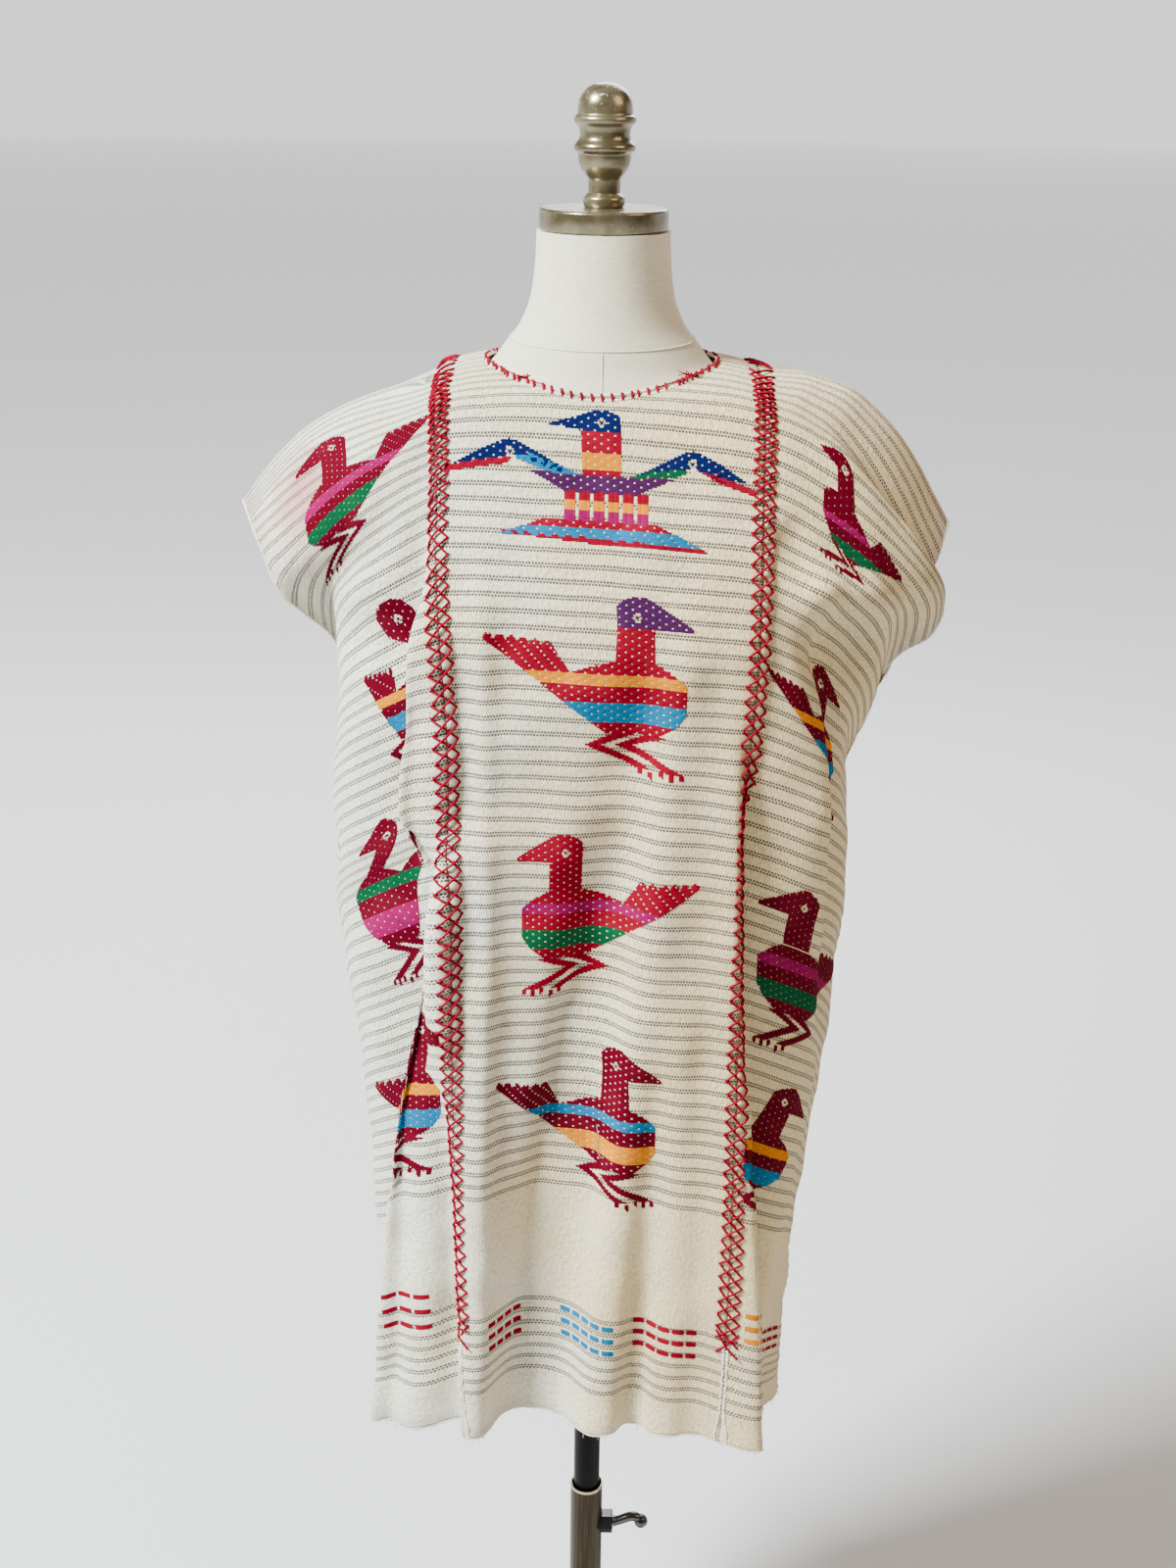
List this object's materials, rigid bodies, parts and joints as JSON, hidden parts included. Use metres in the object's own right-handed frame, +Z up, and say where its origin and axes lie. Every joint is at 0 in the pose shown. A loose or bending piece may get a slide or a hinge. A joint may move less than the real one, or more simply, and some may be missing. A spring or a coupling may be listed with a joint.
{
  "type": "huipil blouse on a dress form",
  "caption": "Sleeveless tunic of three woven panels folded over the shoulders and worn on a limbless dress form, with a telescoping pole, clamp lever and round base.",
  "frame": {"origin": "middle of the base's flat underside, on the pole's axis", "axes": "+Z up along the pole, -Y towards the garment's front, +X to the viewer's right when facing the front"},
  "size_m": [0.5794, 0.3413, 1.669],
  "materials": {
    "woven_cotton": "matte handwoven cotton",
    "linen": "matte linen cover",
    "aged_brass": "glossy aged lacquer",
    "gunmetal": "dark satin",
    "antique_bronze": "brushed satin",
    "black_enamel": "gloss enamel"
  },
  "bodies": {
    "stand": {"stand_base": "black_enamel", "outer_tube": "antique_bronze", "clamp_boss": "black_enamel"},
    "pole": {"inner_pole": "gunmetal"},
    "form": {"form_torso": "linen", "neck_cap": "aged_brass", "finial": "aged_brass", "centre_panel": "woven_cotton", "left_panel": "woven_cotton", "right_panel": "woven_cotton"},
    "clamp": {"clamp_lever": "black_enamel"}
  },
  "joints": [
    {"name": "height_slide", "type": "slide", "parent": "stand", "child": "pole", "axis": [0, 0, 1], "range_m": [-0.18, 0.1]},
    {"name": "form_swivel", "type": "hinge", "parent": "pole", "child": "form", "pos_m": [0, 0, 0.9], "axis": [0, 0, 1], "continuous": true},
    {"name": "clamp_turn", "type": "hinge", "parent": "stand", "child": "clamp", "pos_m": [0.0265, 0, 0.312], "axis": [1, 0, 0], "range_deg": [-100, 150]}
  ]
}
